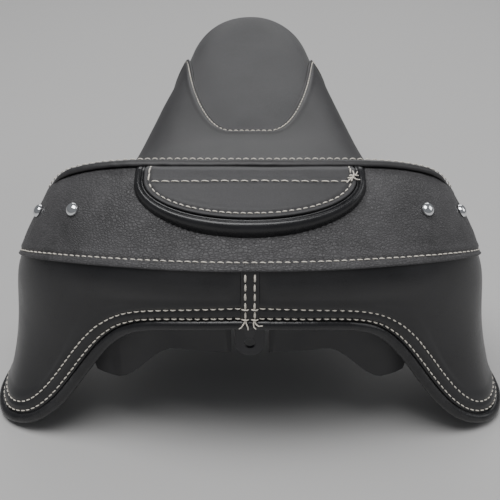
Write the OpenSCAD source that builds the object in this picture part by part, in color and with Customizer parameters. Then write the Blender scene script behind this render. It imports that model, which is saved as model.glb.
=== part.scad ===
// Solo motorcycle saddle with a rear skirt and a flap over a backrest receiver.
// Millimetres, +X right, +Y forward to the nose, +Z up.
// The origin is the centre of the bolt hole in the rear tab.

/* [Cushion] */
// Height of the lower band seam at the rear centre, above the skirt's lobes
seam_h = 169.5; // [166:0.5:173]
// Height of the rolled ridge at the rear of the bucket
ridge_h = 212; // [208:1:215]
// Height of the bottom of the bucket
bucket_h = 158; // [154:1:162]
// Height of the nose where it meets the tank
nose_h = 200; // [196:1:204]
// Half width of the cushion at the bucket
bucket_half_w = 146; // [143:1:149]
// Half width of the nose
nose_half_w = 69; // [65:1:73]
// Length from the rear seam to the tip of the nose
seat_len = 494; // [486:1:500]

/* [Leather] */
// Thickness of the cover leather
leather_t = 1.6; // [1.2:0.1:1.8]
// Gap kept between neighbouring layers
layer_gap = 0.3; // [0.2:0.1:0.4]

/* [Skirt] */
// Height of the arch in the skirt above its lobes
arch_h = 118; // [112:1:122]
// How far the lobes flare out from the lower seam
lobe_flare = 36; // [31:1:38]
// Diameter of the rolled edge along the hem
hem_roll_d = 8; // [6:0.5:9]
// Width of the strip over the centre seam
strip_w = 12.6; // [10:0.2:16]

/* [Flap] */
// Half width of the flap
flap_half_w = 75.5; // [72:0.5:78]
// Distance from the ridge down to the flap's lower edge
flap_drop = 53; // [51:1:55]
// Distance from the ridge down to the flap's hinge seam
hinge_drop = 26; // [23:0.5:27]

/* [Studs] */
// Diameter of a domed stud
stud_d = 10.5; // [9:0.5:12]

/* [Pan and metalwork] */
// Thickness of the moulded pan
pan_t = 3.5; // [3:0.5:4]
// Thickness of the steel brackets
steel_t = 3; // [2.5:0.5:3]
// Diameter of the bolt hole in the rear tab
tab_hole_d = 8.5; // [6.5:0.5:10.5]
// Width of the front tongue
tongue_w = 38; // [30:1:44]
// Width of the backrest blade that the receiver takes
blade_w = 32; // [26:1:36]
// Thickness of the backrest blade that the receiver takes
blade_t = 6.5; // [5:0.5:8]

/* [Hidden] */

// Centre of the rear tab's hole, measured from the rear seam and the lobes' feet
datum = [0, 16, 98];

// Sections of the cushion from the rear seam (station 0) over the ridge (1) to the nose (4):
// station, half width, side y, side z, centre y, centre z, boxiness, plan boxiness, hip bulge
cushion = [
    [0.0, 168, 142, 105, 0, seam_h, 2.47, 2.28, 0.36],
    [1.0, 168, 142, 105, 79, ridge_h, 3.73, 2.57, 0],
    [1.3, bucket_half_w + 13, 172, 105, 116, 185, 3.2, 2.6, 0],
    [1.7, bucket_half_w, 200, 94, 165, bucket_h + 2, 2.6, 2.3, 0],
    [2.2, bucket_half_w - 23.5, 245, 86, 245, bucket_h, 2.7, 2.2, 0],
    [2.8, 102, 320, 94, 335, 170, 2.8, 2.2, 0],
    [3.4, nose_half_w + 13, 390, 116, 425, nose_h - 12, 2.6, 2.2, 0],
    [3.8, nose_half_w, 430, 134, seat_len - 14, nose_h, 2.2, 2.1, 0],
    [4.0, nose_half_w - 3, 440, 146, seat_len, nose_h - 28, 2.2, 2.1, 0]
];
// Sections of the pan, in the same columns
pan = [
    [0.0, 160, 140, 100, 12, 140, 2.47, 2.28, 0.34],
    [1.0, 159, 140, 100, 82, 127, 2.6, 2.57, 0],
    [1.3, bucket_half_w + 5, 171, 100, 118, 121, 2.6, 2.4, 0],
    [1.7, bucket_half_w - 8, 200, 89, 165, 113, 2.4, 2.3, 0],
    [2.2, bucket_half_w - 31, 245, 81, 245, 106, 2.4, 2.2, 0],
    [2.8, 94, 318, 89, 332, 118, 2.4, 2.2, 0],
    [3.4, nose_half_w + 5, 386, 111, 414, 140, 2.4, 2.2, 0],
    [3.8, nose_half_w - 9, 422, 129, 460, 156, 2.2, 2.1, 0],
    [4.0, nose_half_w - 11, 432, 140, seat_len - 12, 160, 2.2, 2.1, 0]
];

// --- Smooth surfaces through the sections ---

function secant(t, i, c) = (t[i + 1][c] - t[i][c]) / (t[i + 1][0] - t[i][0]);
// Slope of column c at section i, chosen so that the curve never overshoots
function slope(t, i, c) =
    i == 0 ? secant(t, 0, c)
    : i == len(t) - 1 ? secant(t, i - 1, c)
    : let (a = secant(t, i - 1, c), b = secant(t, i, c)) a * b > 0 ? 2 * a * b / (a + b) : 0;
function span(t, v) = max([for (i = [0:len(t) - 2]) if (i == 0 || v >= t[i][0]) i]);
function hermite(p, q, m, n, s) =
    p * (2 * s * s * s - 3 * s * s + 1) + m * (s * s * s - 2 * s * s + s)
    + q * (3 * s * s - 2 * s * s * s) + n * (s * s * s - s * s);
// The section at station v
function section(t, v) =
    let (i = span(t, v), h = t[i + 1][0] - t[i][0], s = (v - t[i][0]) / h)
    [for (c = [1:8]) hermite(t[i][c], t[i + 1][c], h * slope(t, i, c), h * slope(t, i + 1, c), s)];
// Point of a section at angle u, from -90 on the left edge to 90 on the right edge
function section_point(q, u) =
    let (s = abs(sin(u)), c = abs(cos(u)), k = pow(pow(s, q[5]) + pow(c, q[5]), -1 / q[5]))
    let (sx = s * k, cz = c * k, cy = pow(max(0, 1 - pow(sx, q[6])), 1 / q[6]))
    [
        sign(u) * q[0] * sx * (1 + q[7] * cz * pow(sx, 4)),
        q[1] + (q[3] - q[1]) * cy,
        q[2] + (q[4] - q[2]) * cz
    ];
function unit(a) = a / norm(a);
// Outward normal of surface t at u and v
function normal(t, u, v) =
    let (w = max(-87, min(87, u)), e = 0.02, lo = max(0, v - e), hi = min(4, v + e))
    let (mid = section(t, v))
    unit(cross(section_point(mid, w + 1) - section_point(mid, w - 1),
               section_point(section(t, hi), w) - section_point(section(t, lo), w)));
// Point at height h above surface t
function skin(t, u, v, h) = section_point(section(t, v), u) + h * normal(t, u, v);
function steps(a, b, n) = [for (k = [0:n]) a + (b - a) * k / n];
function patch(t, us, vs, h) = [for (v = vs) [for (u = us) skin(t, u, v, h)]];

// --- Solids through grids of points ---

// Closed shell between an upper and a lower grid; cells for which keep(row, column) is false are left open
module shell(upper, lower, keep = function(i, j) true) {
    rows = len(upper);
    cols = len(upper[0]);
    n = rows * cols;
    function at(i, j) = i * cols + j;
    function open(i, j) = i < 0 || j < 0 || i > rows - 2 || j > cols - 2 ? true : !keep(i, j);
    function wall(p, q) = [[q, p, p + n], [q, p + n, q + n]];
    faces = [
        for (i = [0:rows - 2], j = [0:cols - 2])
            if (keep(i, j))
                let (a = at(i, j), b = at(i, j + 1), c = at(i + 1, j + 1), d = at(i + 1, j))
                each concat(
                    [[a, c, b], [a, d, c], [a + n, b + n, c + n], [a + n, c + n, d + n]],
                    open(i - 1, j) ? wall(b, a) : [],
                    open(i, j + 1) ? wall(c, b) : [],
                    open(i + 1, j) ? wall(d, c) : [],
                    open(i, j - 1) ? wall(a, d) : []
                )
    ];
    polyhedron([each each upper, each each lower], faces, convexity = 8);
}

module placed() {
    translate(-datum) children();
}

// A solid lofted through rings of points, with a flat fan at each end
module loft(rings) {
    n = len(rings[0]);
    last = len(rings) - 1;
    function at(i, j) = i * n + j % n;
    faces = [
        for (i = [0:last - 1], j = [0:n - 1])
            each [[at(i, j), at(i + 1, j + 1), at(i + 1, j)], [at(i, j), at(i, j + 1), at(i + 1, j + 1)]],
        for (j = [1:n - 2]) each [[0, at(0, j + 1), at(0, j)], [at(last, 0), at(last, j), at(last, j + 1)]]
    ];
    polyhedron([each each rings], faces, convexity = 8);
}

// Rings of a half-round bead that lies on surface t along path points [u, v, half width, height]
function bead_rings(t, path, foot = layer_gap, arc = steps(0, 180, 6)) =
    let (p = [for (q = path) skin(t, q[0], q[1], 0)], last = len(path) - 1)
    [
        for (i = [0:last])
            let (
                out = normal(t, path[i][0], path[i][1]),
                along = unit(p[min(last, i + 1)] - p[max(0, i - 1)]),
                side = unit(cross(out, along))
            )
            [for (a = arc) p[i] + side * path[i][2] * cos(a) + out * (foot + path[i][3] * sin(a))]
    ];

// Blend from 0 at a to 1 at b with no corners
function ease(x, a, b) = let (s = max(0, min(1, (x - a) / (b - a)))) s * s * (3 - 2 * s);

// Puts children on surface t with +Z along its outward normal
module on_skin(t, u, v) {
    out = normal(t, u, v);
    translate(skin(t, u, v, 0)) rotate([0, acos(out.z), atan2(out.y, out.x)]) children();
}

// --- Shared grid lines, so that stacked layers bend at the same places ---

grid_us = [-90, -86, each steps(-80, 80, 20), 86, 90];
inner_us = [-86, each steps(-80, 80, 20), 86];
band_vs = [0, 0.07, 0.17, 0.28, 0.39, 0.5, 0.6, 0.69, 0.8, 0.9, 0.95, 0.98];
top_vs = [1.015, 1.05, 1.1, 1.17, 1.26, 1.36, 1.5, 1.7, 1.95, 2.2];
nose_vs = [2.5, 2.8, 3.1, 3.4, 3.55, 3.7, 3.8, 3.87, 3.93];
foam_depth = leather_t + 2.4;

// --- Pan, its liners and the foam ---

// Spots for the fasteners, across and along the pads that carry the metalwork
tab_rivet_spots = [for (x = [-7, 7], y = [68, 80]) [x, y]];
receiver_bolt_spots = [for (x = [-34, 34], y = [23, 45]) [x, y]];
tongue_rivet_spots = [for (x = [-11, 11], y = [-12, 12]) [x, y]];
rivet_d = 4.8;
bolt_d = 6;
pad_half_w = 46;
pad_start = 14;
pad_end = 86;
pad_top = 0.8;
pad_bottom = -pan_t - 2;
nose_pad_v = 3.2;
// Rubber feet, as angle and station on the pan
bumper_spots = [[-26, 1.45], [26, 1.45], [-30, 2.65], [30, 2.65]];
bumper_stem_d = 8;
stud_spots = [[-54.4, 0.57], [-41.1, 0.505], [41.1, 0.505], [54.4, 0.57]];
stud_post_d = 2;
// Middle of the backrest receiver along the rear pad
receiver_y = 34;

// Puts children on the rear pad, with +Y up the pan's slope towards the nose
module on_rear_pad() {
    run = pan[1][4] - pan[0][4];
    rise = pan[1][5] - pan[0][5];
    translate([0, pan[0][4], pan[0][5]]) rotate([atan(rise / run), 0, 0]) children();
}

// Puts children on the pad under the nose
module on_nose_pad() {
    out = normal(pan, 0, nose_pad_v);
    translate(skin(pan, 0, nose_pad_v, 0)) rotate([atan2(-out.y, out.z), 0, 0]) children();
}

module block(half_w, y0, y1, z0, z1) {
    translate([-half_w, y0, z0]) cube([2 * half_w, y1 - y0, z1 - z0]);
}

module shanks(spots, d, z0, z1) {
    for (p = spots) translate([p.x, p.y, z0]) cylinder(d = d, h = z1 - z0, $fn = 32);
}

// Moulded lip that hangs from the pan's rear edge and follows the crown of the fender,
// with a gap in the middle for the tab
lip_t = 3;
function lip_low(x) = 91 - 37 * ease(x, 56, 104) + 50 * ease(x, 118, 134);
function lip_point(u, k, depth) =
    let (
        e = section_point(section(pan, 0), u),
        along = section_point(section(pan, 0), u + 1) - section_point(section(pan, 0), u - 1),
        out = unit([along.y, -along.x])
    )
    [e.x - out.x * depth, e.y - out.y * depth, e.z - 2 + (lip_low(abs(e.x)) - e.z + 2) * k];

module rear_lip(us) {
    grid = function(depth) [for (k = [1, 0.5, 0]) [for (u = us) lip_point(u, k, depth)]];
    shell(grid(0.8), grid(0.8 + lip_t));
}

module seat_pan() {
    us = steps(-90, 90, 24);
    vs = steps(0, 4, 24);
    color("#1c1c1e") placed() difference() {
        union() {
            shell(patch(pan, us, vs, 0), patch(pan, us, vs, -pan_t));
            rear_lip(steps(-51, -5, 23));
            rear_lip(steps(5, 51, 23));
            on_rear_pad() block(pad_half_w, pad_start, pad_end, pad_bottom, pad_top);
            on_nose_pad() block(tongue_w / 2 + 4, -22, 22, pad_bottom, -1);
        }
        on_rear_pad() shanks(tab_rivet_spots, rivet_d + 0.2, -20, 20);
        on_rear_pad() shanks(receiver_bolt_spots, bolt_d + 0.4, -20, 20);
        on_nose_pad() shanks(tongue_rivet_spots, rivet_d + 0.2, -20, 20);
        for (b = bumper_spots) on_skin(pan, b[0], b[1])
            translate([0, 0, -10]) cylinder(d = bumper_stem_d + 0.2, h = 20, $fn = 32);
    }
}

module pan_felts() {
    vs = steps(1.62, 2.35, 4);
    color("#2a2a2c") placed() for (us = [steps(30, 58, 4), steps(-58, -30, 4)])
        shell(patch(pan, us, vs, -pan_t - 0.6), patch(pan, us, vs, -pan_t - 3));
}

module foam_cushion() {
    vs = [each [for (v = band_vs) if (v > 0.05) v], each top_vs, each nose_vs];
    ridge_dip = function(v) 2.5 * exp(-pow((v - 1) / 0.06, 2));
    // The foam draws back from the lower corners of the nose
    shy = function(v) 1 - 0.25 * ease(v, 3.25, 3.75);
    color("#c9b27a") placed() difference() {
        shell(
            [for (v = vs) [for (u = inner_us) skin(cushion, u * shy(v), v, -foam_depth - ridge_dip(v))]],
            [for (v = vs) [for (u = inner_us) skin(pan, u * shy(v), v, 0.9 + 20 * (1 - shy(v)))]]
        );
        on_rear_pad() block(pad_half_w + 2, pad_start - 2, pad_end + 2, -4, 4);
        on_rear_pad() block(pad_half_w + 2, receiver_y - 20, receiver_y + 20, -4, 10);
        receiver_shaft(4);
        on_nose_pad() block(tongue_w / 2 + 4, -18, 18, -4, 4);
        for (b = bumper_spots) on_skin(pan, b[0], b[1])
            translate([0, 0, -1]) cylinder(d = bumper_stem_d + 6, h = 5, $fn = 32);
        for (s = stud_spots) on_skin(cushion, s[0], s[1])
            translate([0, 0, -7]) cylinder(d = 10, h = 8, $fn = 32);
    }
}

// --- Leather covers ---

// Station of the seam between the seat cover and the nose cover, a U open to the front
function nose_seam(u) = 2.34 + 1.16 * ease(abs(u), 8, 52);

module seat_cover() {
    ks = steps(0, 1, 7);
    border = function(u) nose_seam(u) - 0.015;
    rows = function(h) [
        for (v = [for (t = top_vs) if (t < 1.9) t]) [for (u = grid_us) skin(cushion, u, v, h)],
        for (k = [for (k = ks) if (k > 0) k])
            [for (u = grid_us) skin(cushion, u, 1.7 + (border(u) - 1.7) * k, h)]
    ];
    color("#222225") placed() shell(rows(0), rows(-leather_t));
}

module nose_cover() {
    ks = [0, 0.15, 0.32, 0.5, 0.66, 0.8, 0.88, 0.94, 0.98, 1];
    border = function(u) nose_seam(u) + 0.015;
    rows = function(h) [
        for (k = ks) [for (u = grid_us) skin(cushion, u, border(u) + (3.99 - border(u)) * k, h)]
    ];
    color("#2b2b2f") placed() shell(rows(0), rows(-leather_t));
}

module rear_band() {
    us = [-81.5, each steps(-80, 80, 20), 81.5];
    // The opening over the backrest receiver
    keep = function(i, j) band_vs[i] < 0.49 || band_vs[i] > 0.68 || us[j] < -17 || us[j] > 15;
    color("#2e2e31") placed() difference() {
        shell(patch(cushion, us, band_vs, 0), patch(cushion, us, band_vs, -leather_t), keep);
        for (s = stud_spots) on_skin(cushion, s[0], s[1])
            translate([0, 0, -8]) cylinder(d = stud_post_d + 0.3, h = 14, $fn = 32);
    }
}

module ridge_welt() {
    path = [for (u = steps(-60, 60, 40)) [u, 1, 2, 3]];
    color("#242427") placed() loft(bead_rings(cushion, path, 0.7));
}

// --- Pocket and flap over the backrest receiver ---

// Surface angle and station of a place x across and s down the band from the ridge
band_len = 90;
function band_uv(x, s) =
    let (v = 1 - s / band_len, q = section(cushion, v), sx = min(0.99, abs(x) / q[0]))
    [sign(x) * atan2(sx, pow(1 - pow(sx, q[5]), 1 / q[5])), v];
function on_band(x, s, h) = let (q = band_uv(x, s)) skin(cushion, q[0], q[1], h);

// Half-moon outline: straight down to s_flat, then round to s_low at the centre
moon_power = 2.2;
moon_flat = 22;
function moon_s(x, half_w, s_low) =
    moon_flat + (s_low - moon_flat) * pow(max(0, 1 - pow(abs(x) / half_w, moon_power)), 1 / moon_power);
function moon_point(a, half_w, s_low) = [
    half_w * sign(cos(a)) * pow(abs(cos(a)), 2 / moon_power),
    moon_flat + (s_low - moon_flat) * pow(abs(sin(a)), 2 / moon_power)
];

flap_bottom = 2.6;
flap_top = 5.6;
flap_gap = 1.2;
roll_side_w = 7;
roll_low_w = 11;

module pocket_roll() {
    half_w = flap_half_w + flap_gap + roll_side_w / 2;
    s_low = flap_drop + flap_gap + roll_low_w / 2;
    // Half width and height of the bead, fuller along the bottom
    fat = function(a) pow(sin(a), 3);
    bead = function(q, a) [
        q[0], q[1],
        roll_side_w / 2 + (roll_low_w - roll_side_w) / 2 * fat(a),
        6 + 2.5 * fat(a)
    ];
    path = [
        for (s = [4, 13]) bead(band_uv(-half_w, s), 180),
        for (a = steps(180, 0, 22)) let (p = moon_point(a, half_w, s_low)) bead(band_uv(p.x, p.y), a),
        for (s = [13, 4]) bead(band_uv(half_w, s), 0)
    ];
    color("#262629") placed() loft(bead_rings(cushion, path, 0.35, steps(0, 180, 7)));
}

// A layer over the band between s0 above and s1(x) below, from height h0 to h1
module band_layer(half_w, s0, s1, h0, h1, cols = 18, rows = 4) {
    xs = [for (a = steps(-90, 90, cols)) half_w * sin(a)];
    ks = steps(1, 0, rows);
    grid = function(h) [for (k = ks) [for (x = xs) on_band(x, s0 + (s1(x) - s0) * k, h)]];
    placed() shell(grid(h1), grid(h0));
}

module flap_yoke() {
    color("#2b2b2f")
        band_layer(flap_half_w, 3.4, function(x) hinge_drop - 0.6, 0.5, flap_top, rows = 7);
}

module flap_cover() {
    color("#2b2b2f") band_layer(flap_half_w, hinge_drop + 0.6,
        function(x) max(hinge_drop + 2, moon_s(x, flap_half_w, flap_drop)), flap_bottom + 1.4, flap_top);
}

module flap_lining() {
    half_w = flap_half_w - 4.5;
    color("#4a4038") band_layer(half_w, hinge_drop + 0.8,
        function(x) max(hinge_drop + 2, moon_s(x, half_w, flap_drop - 3)), flap_bottom, flap_bottom + 1.2);
}

module flap_hook_strip() {
    color("#0e0e0f") band_layer(30, 45.8, function(x) 50, flap_bottom - 1, flap_bottom - 0.1, 10, 1);
}

module pocket_loop_strip() {
    color("#0e0e0f") band_layer(30, 45.8, function(x) 50, 0.4, flap_bottom - 1.15, 10, 1);
}

// --- Skirt ---

// Length along the rear seam from its centre to its end, and from there to the skirt's front end
seam_run = 282;
skirt_run = 325;
// Point on the cushion's lower edge at distance a from the rear centre
function edge(a) =
    abs(a) <= seam_run
        ? section_point(section(cushion, 0), a / seam_run * 90)
        : section_point(section(cushion, 1 + (abs(a) - seam_run) / 83), sign(a) * 90);
function edge_out(a) = let (d = edge(a + 1) - edge(a - 1)) unit([d.y, -d.x]);
// Lowest line of the skirt: an arch over the rear, down to the lobes, then up to the front ends
function hem_z(a) =
    let (b = abs(a))
    arch_h * (0.983 - (bend(b - 108, 26) - bend(b - 148, 27)) / 36.1)
        + 0.68 * bend(b - 233, 42) + 1.9 * exp(-pow(b / 48, 2));
// 0 far below t = 0 and t far above it, with a rounded corner of about size r between
function bend(t, r) = (t + sqrt(t * t + r * r)) / 2;
function hem_slope(a) = hem_z(a + 0.5) - hem_z(a - 0.5);
// Place on the hem whose square offset by d lies at distance a along the seam
function hem_foot(a, d, n = 4) =
    n == 0 ? a : let (g = hem_slope(hem_foot(a, d, n - 1))) a + d * g / sqrt(1 + g * g);
// Height of a line that runs parallel to the hem, d above it
function above_hem(a, d) = let (f = hem_foot(a, d), g = hem_slope(f)) hem_z(f) + d / sqrt(1 + g * g);
function skirt_top(a) = edge(a).z - 2.2;
// Point on the skirt at distance a and height z, at a depth below its outer face
function on_skirt(a, z, depth) =
    let (
        e = edge(a), out = edge_out(a), top = e.z - 2.2,
        w = (top - z) / (top - hem_z(a)), belly = 8 + 47 * ease(abs(a), 40, 169),
        flare = (-2 + (lobe_flare + 2) * ease(abs(a), 98, 188)) * (1 - 0.6 * ease(abs(a), 174, 281)),
        o = -1 + flare * pow(max(0, w), 1.9) + belly * w * pow(max(0, 1 - w), 4) - depth
    )
    [e.x + out.x * o, e.y + out.y * o, z];
function skirt_grid(as, depth) = [
    for (k = [1, 0.88, 0.75, 0.61, 0.47, 0.34, 0.22, 0.13, 0.06, 0])
        [for (a = as) on_skirt(a, skirt_top(a) + (above_hem(a, hem_roll_d + 1.9) - skirt_top(a)) * k, depth)]
];

module skirt_panel(as) {
    color("#232326") placed() shell(skirt_grid(as, 0), skirt_grid(as, leather_t));
}

module skirt_panel_left() {
    skirt_panel(steps(-skirt_run, -0.4, 24));
}

module skirt_panel_right() {
    skirt_panel(steps(0.4, skirt_run, 24));
}

module skirt_centre_strip() {
    as = steps(-strip_w / 2, strip_w / 2, 2);
    color("#2a2a2d") placed() shell(skirt_grid(as, -leather_t - 0.2), skirt_grid(as, -0.2));
}

module skirt_lining() {
    as = [each steps(-skirt_run, -0.4, 24), each steps(0.4, skirt_run, 24)];
    color("#3a3a3c") placed() shell(skirt_grid(as, leather_t + 0.3), skirt_grid(as, leather_t + 1.5));
}

module skirt_edge_roll() {
    r = hem_roll_d / 2;
    centre = function(a) on_skirt(a, above_hem(a, r), leather_t);
    rings = [
        for (a = steps(-skirt_run, skirt_run, 80))
            let (
                along = unit(centre(a + 1) - centre(a - 1)),
                out = unit([edge_out(a).x, edge_out(a).y, 0]),
                up = unit(cross(along, out)),
                side = cross(up, along)
            )
            [for (t = steps(0, 315, 7)) centre(a) + r * (side * cos(t) - up * sin(t))]
    ];
    color("#29292c") placed() loft(rings);
}

// --- Studs ---

stud_rise = 3.4;

module chrome_studs() {
    r = (stud_d * stud_d / 4 + stud_rise * stud_rise) / (2 * stud_rise);
    color("#e8e8ec") placed() for (s = stud_spots) on_skin(cushion, s[0], s[1]) translate([0, 0, 0.1]) {
        intersection() {
            translate([0, 0, stud_rise - r]) sphere(r = r, $fn = 64);
            translate([-stud_d, -stud_d, 0]) cube(2 * stud_d);
        }
        translate([0, 0, -6.4]) cylinder(d = stud_post_d, h = 6.9, $fn = 32);
    }
}

module stud_washers() {
    color("#b0b0b4") placed() for (s = stud_spots) on_skin(cushion, s[0], s[1])
        translate([0, 0, -5.6]) difference() {
            cylinder(d = 7, h = 0.6, $fn = 32);
            translate([0, 0, -1]) cylinder(d = stud_post_d + 0.2, h = 3, $fn = 32);
        }
}

// --- Metalwork ---

receiver_wall = 3;
receiver_top = 184;

// Upright shaft around the receiver's socket, wider than it by a margin
module receiver_shaft(margin) {
    y = pan[0][4] + receiver_y;
    translate([-blade_w / 2 - receiver_wall - margin, y - blade_t / 2 - receiver_wall - margin, 133])
        cube([blade_w + 2 * receiver_wall + 2 * margin, blade_t + 2 * receiver_wall + 2 * margin, 90]);
}

module backrest_receiver() {
    y = pan[0][4] + receiver_y;
    slot_w = blade_w + 1;
    slot_t = blade_t + 0.6;
    color("#3c3c40") placed() difference() {
        union() {
            on_rear_pad() block(44, receiver_y - 17, receiver_y + 17, pad_top + 0.05, pad_top + 0.05 + steel_t);
            intersection() {
                receiver_shaft(0);
                translate([-50, 0, 130]) cube([100, 100, receiver_top - 130]);
            }
        }
        on_rear_pad() shanks(receiver_bolt_spots, bolt_d + 0.4, -5, 8);
        translate([-slot_w / 2, y - slot_t / 2, 120]) cube([slot_w, slot_t, 80]);
        on_rear_pad() block(60, receiver_y - 30, receiver_y + 30, -10, pad_top + 0.05);
    }
}

module receiver_bolts() {
    seat = pad_top + 0.05 + steel_t;
    color("#9a9a9e") placed() on_rear_pad() {
        for (p = receiver_bolt_spots) translate([p.x, p.y, seat + 0.05]) cylinder(d = 11.4, h = 4, $fn = 6);
        shanks(receiver_bolt_spots, bolt_d, pad_bottom - 8, seat + 1);
    }
}

module receiver_nuts() {
    color("#9a9a9e") placed() on_rear_pad() for (p = receiver_bolt_spots)
        translate([p.x, p.y, pad_bottom - 5.1]) difference() {
            cylinder(d = 11.4, h = 5, $fn = 6);
            translate([0, 0, -1]) cylinder(d = bolt_d + 0.1, h = 7, $fn = 32);
        }
}

tab_w = 24;
strap_top = pad_bottom - 0.05;

module rear_tab() {
    color("#3a3a3d") placed() difference() {
        union() {
            on_rear_pad() block(tab_w / 2, 3.6, pad_end - 1, strap_top - steel_t, strap_top);
            translate([0, datum.y + steel_t / 2, datum.z]) rotate([90, 0, 0]) linear_extrude(steel_t) {
                circle(d = tab_w - 2, $fn = 64);
                translate([1 - tab_w / 2, 0]) square([tab_w - 2, 35]);
            }
        }
        on_rear_pad() shanks(tab_rivet_spots, rivet_d + 0.2, -20, 0);
        translate(datum) rotate([90, 0, 0]) cylinder(d = tab_hole_d, h = 20, center = true, $fn = 64);
    }
}

module rivet_set(spots, top) {
    shanks(spots, rivet_d, strap_top - steel_t - 0.5, top + 0.5);
    shanks(spots, 9.4, strap_top - steel_t - 1.6, strap_top - steel_t - 0.05);
    shanks(spots, 8, top + 0.05, top + 1.6);
}

module tab_rivets() {
    color("#a8a8ac") placed() on_rear_pad() rivet_set(tab_rivet_spots, pad_top);
}

module front_tongue() {
    t = strap_top;
    // Side profile of a strap with a joggle down to the tongue
    profile = [
        [-20, t], [22, t], [32, t - 12], [62, t - 12], [68, t - 14], [67, t - 14 - steel_t],
        [61, t - 12 - steel_t], [30.4, t - 12 - steel_t], [20.4, t - steel_t], [-20, t - steel_t]
    ];
    color("#58585c") placed() on_nose_pad() difference() {
        translate([-tongue_w / 2, 0, 0]) rotate([90, 0, 90]) linear_extrude(tongue_w) polygon(profile);
        shanks(tongue_rivet_spots, rivet_d + 0.2, -20, 0);
    }
}

module tongue_rivets() {
    color("#a8a8ac") placed() on_nose_pad() rivet_set(tongue_rivet_spots, 0.3);
}

module pan_bumpers() {
    color("#141415") placed() for (b = bumper_spots) on_skin(pan, b[0], b[1]) {
        translate([0, 0, -pan_t - 10.3]) cylinder(d1 = 18, d2 = 22, h = 9.7, $fn = 48);
        translate([0, 0, -pan_t - 0.8]) cylinder(d = bumper_stem_d, h = pan_t + 2, $fn = 32);
        translate([0, 0, 0.7]) cylinder(d1 = bumper_stem_d + 2, d2 = bumper_stem_d - 2, h = 2.5, $fn = 32);
    }
}

// --- Edge of the cover, pulled under the pan ---

strip_depth = pan_t + 0.3;
strip_t = 1.2;

module pull_strip() {
    us = steps(-90, 90, 24);
    vs = steps(0, 4, 24);
    keep = function(i, j) i > 22 || j < 4 || j > 19;
    color("#343437") placed()
        shell(patch(pan, us, vs, -strip_depth), patch(pan, us, vs, -strip_depth - strip_t), keep);
}

// A wire staple along the line from one place on the pan's border to the next
module staple(q, r) {
    crown = 10;
    wire = 0.8;
    p = skin(pan, q[0], q[1], -strip_depth - strip_t - 0.3);
    out = normal(pan, q[0], q[1]);
    side = unit(cross(out, skin(pan, r[0], r[1], 0) - skin(pan, q[0], q[1], 0)));
    along = cross(side, out);
    multmatrix([
        [along.x, side.x, out.x, p.x], [along.y, side.y, out.y, p.y],
        [along.z, side.z, out.z, p.z], [0, 0, 0, 1]
    ]) {
        translate([-crown / 2, -wire / 2, -wire]) cube([crown, wire, wire]);
        for (x = [-crown / 2, crown / 2 - wire])
            translate([x, -wire / 2, -wire]) cube([wire, wire, 4.2]);
    }
}

module cover_staples() {
    // The last point only gives the last staple its direction
    border = [
        for (v = steps(0.4, 3.7, 10)) [66, v],
        for (u = steps(50, -50, 4)) [u, 3.9],
        for (v = steps(3.7, 0.1, 11)) [-66, v]
    ];
    color("#c8c8cc") placed() for (i = [0:len(border) - 2]) staple(border[i], border[i + 1]);
}

seat_pan();
pan_felts();
foam_cushion();
seat_cover();
nose_cover();
rear_band();
ridge_welt();
pocket_roll();
flap_yoke();
flap_cover();
flap_lining();
flap_hook_strip();
pocket_loop_strip();
skirt_panel_left();
skirt_panel_right();
skirt_centre_strip();
skirt_lining();
skirt_edge_roll();
chrome_studs();
stud_washers();
backrest_receiver();
receiver_bolts();
receiver_nuts();
rear_tab();
tab_rivets();
front_tongue();
tongue_rivets();
pan_bumpers();
pull_strip();
cover_staples();
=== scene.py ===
import math

import bpy
import numpy as np
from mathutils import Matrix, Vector, kdtree


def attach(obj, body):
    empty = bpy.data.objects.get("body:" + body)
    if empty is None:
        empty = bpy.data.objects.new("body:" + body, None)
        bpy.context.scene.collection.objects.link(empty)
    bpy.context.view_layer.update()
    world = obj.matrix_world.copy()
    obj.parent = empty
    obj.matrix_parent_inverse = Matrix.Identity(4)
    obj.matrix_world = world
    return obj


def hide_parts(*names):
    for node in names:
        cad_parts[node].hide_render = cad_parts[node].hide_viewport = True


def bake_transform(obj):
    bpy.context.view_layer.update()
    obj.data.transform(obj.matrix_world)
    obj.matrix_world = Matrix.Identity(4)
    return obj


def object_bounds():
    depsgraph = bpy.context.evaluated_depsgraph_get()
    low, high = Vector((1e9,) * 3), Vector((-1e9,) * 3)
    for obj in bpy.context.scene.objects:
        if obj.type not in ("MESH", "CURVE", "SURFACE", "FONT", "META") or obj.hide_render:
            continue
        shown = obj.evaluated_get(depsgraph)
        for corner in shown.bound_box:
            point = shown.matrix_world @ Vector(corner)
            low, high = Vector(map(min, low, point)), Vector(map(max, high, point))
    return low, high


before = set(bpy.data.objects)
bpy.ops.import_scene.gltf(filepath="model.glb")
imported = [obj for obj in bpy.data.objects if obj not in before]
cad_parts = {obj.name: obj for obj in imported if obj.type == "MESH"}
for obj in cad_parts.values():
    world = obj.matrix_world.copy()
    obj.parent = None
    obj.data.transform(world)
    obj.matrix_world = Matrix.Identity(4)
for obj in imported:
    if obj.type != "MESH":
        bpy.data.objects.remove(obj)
cad_lo, cad_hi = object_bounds()
rng = np.random.default_rng(11)

# ---------------------------------------------------------------- the CAD part's surfaces, in mm

DATUM = np.array([0.0, 16.0, 98.0])

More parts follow.
